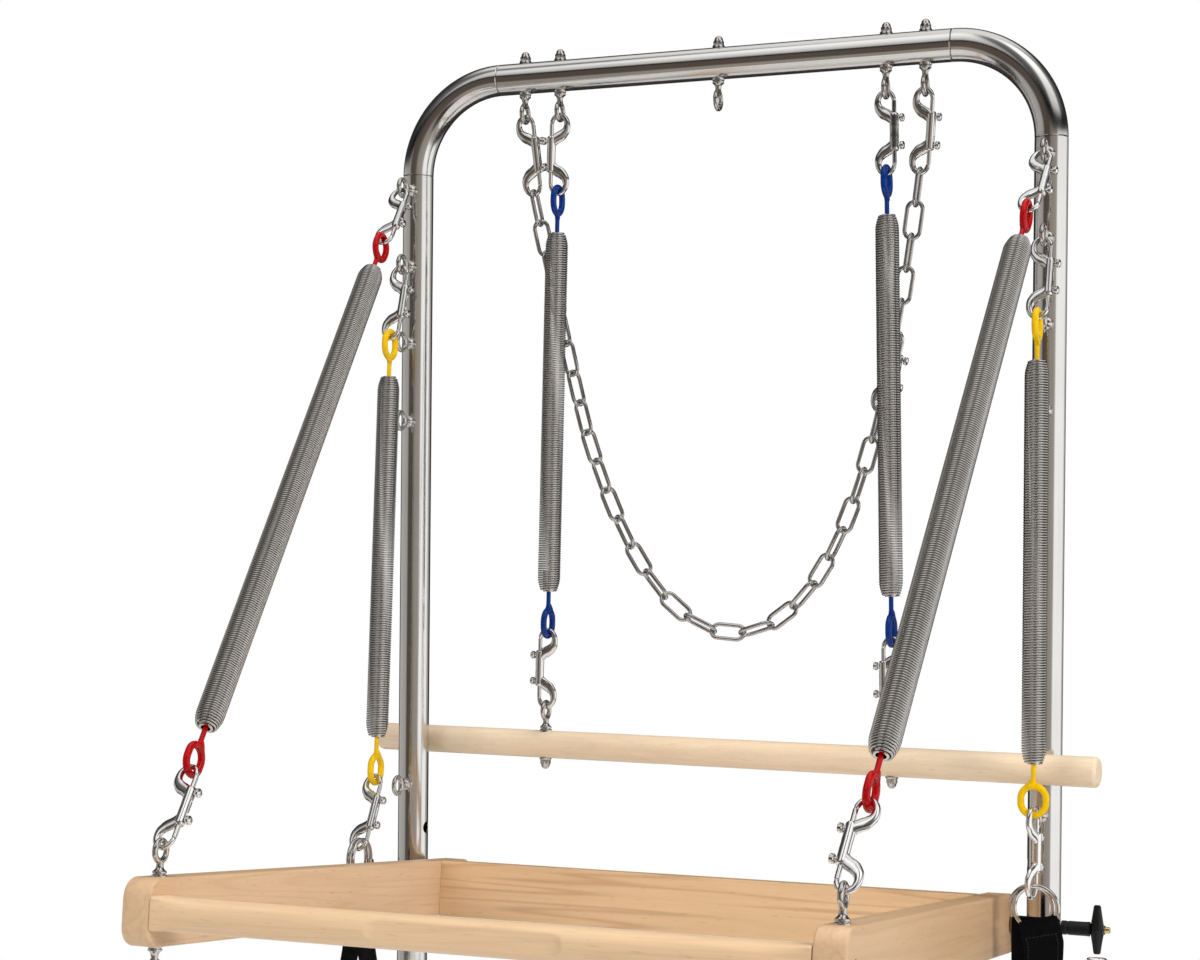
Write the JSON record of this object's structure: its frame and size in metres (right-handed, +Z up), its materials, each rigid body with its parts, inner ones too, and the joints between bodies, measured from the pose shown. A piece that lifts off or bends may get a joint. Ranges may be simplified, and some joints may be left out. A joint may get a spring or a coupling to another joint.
{
  "type": "pilates tower unit",
  "caption": "Bent steel tube tower frame with a wooden push-through bar, a roll-down bar, spring sets on snaps and a safety chain.",
  "frame": {"origin": "on the base plane, midway between the two uprights' feet", "axes": "+X to the right as seen from the user's side, +Y away from the user, +Z up"},
  "size_m": [0.8312, 0.7002, 1.2135],
  "materials": {
    "polished_steel": "polished stainless",
    "chain_steel": "zinc plated and polished",
    "spring_steel": "nickel plated wire",
    "maple": "clear satin varnish",
    "pale_maple": "clear satin varnish",
    "black_plastic": "moulded",
    "brass": "turned",
    "red_dip": "plastic dipped steel",
    "yellow_dip": "plastic dipped steel",
    "blue_dip": "plastic dipped steel",
    "webbing": "woven nylon with steel rings"
  },
  "bodies": {
    "tower_frame": {"left_upright": "polished_steel", "right_upright": "polished_steel", "left_elbow": "polished_steel", "right_elbow": "polished_steel", "crossbar": "polished_steel", "chain_left_eyebolt": "polished_steel", "trapeze_left_eyebolt": "polished_steel", "centre_eyebolt": "polished_steel", "trapeze_right_eyebolt": "polished_steel", "chain_right_eyebolt": "polished_steel", "left_red_eyebolt": "polished_steel", "right_red_eyebolt": "polished_steel", "left_yellow_eyebolt": "polished_steel", "right_yellow_eyebolt": "polished_steel", "blue_left_upper_snap": "polished_steel", "blue_right_upper_snap": "polished_steel", "blue_left_spring": "spring_steel", "blue_right_spring": "spring_steel"},
    "push_through_bar": {"ptb_left_arm": "maple", "ptb_right_arm": "maple", "ptb_left_eyebolt": "polished_steel", "ptb_right_eyebolt": "polished_steel", "ptb_left_bushing": "polished_steel", "ptb_right_bushing": "polished_steel", "ptb_back_board": "maple", "ptb_grip_bar": "maple"},
    "roll_down": {"roll_down_bar": "pale_maple", "roll_down_left_eyebolt": "polished_steel", "roll_down_right_eyebolt": "polished_steel", "blue_left_lower_ring": "blue_dip", "blue_right_lower_ring": "blue_dip", "blue_left_lower_snap": "polished_steel", "blue_right_lower_snap": "polished_steel"},
    "chain": {"safety_chain": "chain_steel"},
    "red_left_upper": {"red_left_upper_snap": "polished_steel", "red_left_spring": "spring_steel"},
    "red_left_plug": {"red_left_end_plug": "polished_steel"},
    "red_left_lower": {"red_left_lower_ring": "red_dip", "red_left_lower_snap": "polished_steel"},
    "red_left_bolt": {"red_left_lower_snap_bolt": "polished_steel"},
    "yellow_left_upper": {"yellow_left_upper_snap": "polished_steel", "yellow_left_spring": "spring_steel"},
    "yellow_left_lower": {"yellow_left_lower_ring": "yellow_dip", "yellow_left_lower_snap": "polished_steel"},
    "left_strap_body": {"left_strap": "webbing"},
    "left_pin": {"left_pull_pin": "black_plastic"},
    "left_button": {"left_pin_button": "brass"},
    "red_right_upper": {"red_right_upper_snap": "polished_steel", "red_right_spring": "spring_steel"},
    "red_right_plug": {"red_right_end_plug": "polished_steel"},
    "red_right_lower": {"red_right_lower_ring": "red_dip", "red_right_lower_snap": "polished_steel"},
    "red_right_bolt": {"red_right_lower_snap_bolt": "polished_steel"},
    "yellow_right_upper": {"yellow_right_upper_snap": "polished_steel", "yellow_right_spring": "spring_steel"},
    "yellow_right_lower": {"yellow_right_lower_ring": "yellow_dip", "yellow_right_lower_snap": "polished_steel"},
    "right_strap_body": {"right_strap": "webbing"},
    "right_pin": {"right_pull_pin": "black_plastic"},
    "right_button": {"right_pin_button": "brass"}
  },
  "joints": [
    {"name": "push_through_bar_swing", "type": "hinge", "parent": "tower_frame", "child": "push_through_bar", "pos_m": [0, 0, 0.3], "axis": [1, 0, 0], "range_deg": [0, 24], "stiffness_Nm_per_rad": 60, "springref_deg": -28.65},
    {"name": "roll_down_bar_pull", "type": "slide", "parent": "tower_frame", "child": "roll_down", "axis": [0, 0, -1], "range_m": [0, 0.018], "stiffness_N_per_m": 600, "springref_m": -0.05, "deforming": ["blue_left_spring", "blue_right_spring"]},
    {"name": "safety_chain_swing", "type": "hinge", "parent": "tower_frame", "child": "chain", "pos_m": [0, 0, 1.1428], "axis": [1, 0, 0], "range_deg": [0, 15]},
    {"name": "red_left_spring_swing", "type": "hinge", "parent": "tower_frame", "child": "red_left_upper", "pos_m": [-0.35, -0.0387, 1.0665], "axis": [1, 0, 0], "range_deg": [0, 8.8]},
    {"name": "red_left_spring_stretch", "type": "slide", "parent": "red_left_upper", "child": "red_left_plug", "axis": [0, -0.635, -0.7725], "range_m": [0, 0.2015], "deforming": ["red_left_spring"]},
    {"name": "red_left_snap_swing", "type": "hinge", "parent": "push_through_bar", "child": "red_left_lower", "pos_m": [-0.3034, -0.58117, 0.40652], "axis": [1, 0, 0], "range_deg": [-15.4, 0]},
    {"name": "red_left_bolt_pull", "type": "slide", "parent": "red_left_lower", "child": "red_left_bolt", "axis": [-0.0545, 0.634, 0.7714], "range_m": [0, 0.006], "stiffness_N_per_m": 300, "springref_m": -0.004},
    {"name": "yellow_left_swing", "type": "hinge", "parent": "tower_frame", "child": "yellow_left_upper", "pos_m": [-0.35, -0.0387, 0.9828], "axis": [-1, 0, 0], "range_deg": [0, 25]},
    {"name": "yellow_left_stretch", "type": "slide", "parent": "yellow_left_upper", "child": "yellow_left_lower", "axis": [0, -0.055, -0.9985], "range_m": [0, 0.15], "stiffness_N_per_m": 350, "springref_m": -0.04, "deforming": ["yellow_left_spring"]},
    {"name": "left_strap_swing", "type": "hinge", "parent": "yellow_left_lower", "child": "left_strap_body", "pos_m": [-0.35, -0.12994, 0.35668], "axis": [1, 0, 0], "range_deg": [-20, 12]},
    {"name": "left_pin_pull", "type": "slide", "parent": "tower_frame", "child": "left_pin", "axis": [-1, 0, 0], "range_m": [0, 0.09]},
    {"name": "left_button_press", "type": "slide", "parent": "left_pin", "child": "left_button", "axis": [1, 0, 0], "range_m": [0, 0.003], "stiffness_N_per_m": 800, "springref_m": -0.002},
    {"name": "red_right_spring_swing", "type": "hinge", "parent": "tower_frame", "child": "red_right_upper", "pos_m": [0.35, -0.0387, 1.0665], "axis": [1, 0, 0], "range_deg": [0, 8.8]},
    {"name": "red_right_spring_stretch", "type": "slide", "parent": "red_right_upper", "child": "red_right_plug", "axis": [0, -0.635, -0.7725], "range_m": [0, 0.2015], "deforming": ["red_right_spring"]},
    {"name": "red_right_snap_swing", "type": "hinge", "parent": "push_through_bar", "child": "red_right_lower", "pos_m": [0.3034, -0.58117, 0.40652], "axis": [1, 0, 0], "range_deg": [-15.4, 0]},
    {"name": "red_right_bolt_pull", "type": "slide", "parent": "red_right_lower", "child": "red_right_bolt", "axis": [0.0545, 0.634, 0.7714], "range_m": [0, 0.006], "stiffness_N_per_m": 300, "springref_m": -0.004},
    {"name": "yellow_right_swing", "type": "hinge", "parent": "tower_frame", "child": "yellow_right_upper", "pos_m": [0.35, -0.0387, 0.9828], "axis": [-1, 0, 0], "range_deg": [0, 25]},
    {"name": "yellow_right_stretch", "type": "slide", "parent": "yellow_right_upper", "child": "yellow_right_lower", "axis": [0.012, -0.055, -0.9984], "range_m": [0, 0.15], "stiffness_N_per_m": 350, "springref_m": -0.04, "deforming": ["yellow_right_spring"]},
    {"name": "right_strap_swing", "type": "hinge", "parent": "yellow_right_lower", "child": "right_strap_body", "pos_m": [0.35568, -0.0955, 0.35268], "axis": [1, 0, 0], "range_deg": [-20, 10]},
    {"name": "right_pin_pull", "type": "slide", "parent": "tower_frame", "child": "right_pin", "axis": [1, 0, 0], "range_m": [0, 0.09]},
    {"name": "right_button_press", "type": "slide", "parent": "right_pin", "child": "right_button", "axis": [-1, 0, 0], "range_m": [0, 0.003], "stiffness_N_per_m": 800, "springref_m": -0.002}
  ],
  "couplings": [
    {"joint": "red_left_spring_swing", "follows": "push_through_bar_swing", "ratio": 0.3638},
    {"joint": "red_left_spring_stretch", "follows": "push_through_bar_swing", "m_per_rad": 0.4784},
    {"joint": "red_left_snap_swing", "follows": "push_through_bar_swing", "ratio": -0.6361},
    {"joint": "red_right_spring_swing", "follows": "push_through_bar_swing", "ratio": 0.3638},
    {"joint": "red_right_spring_stretch", "follows": "push_through_bar_swing", "m_per_rad": 0.4784},
    {"joint": "red_right_snap_swing", "follows": "push_through_bar_swing", "ratio": -0.6361}
  ]
}
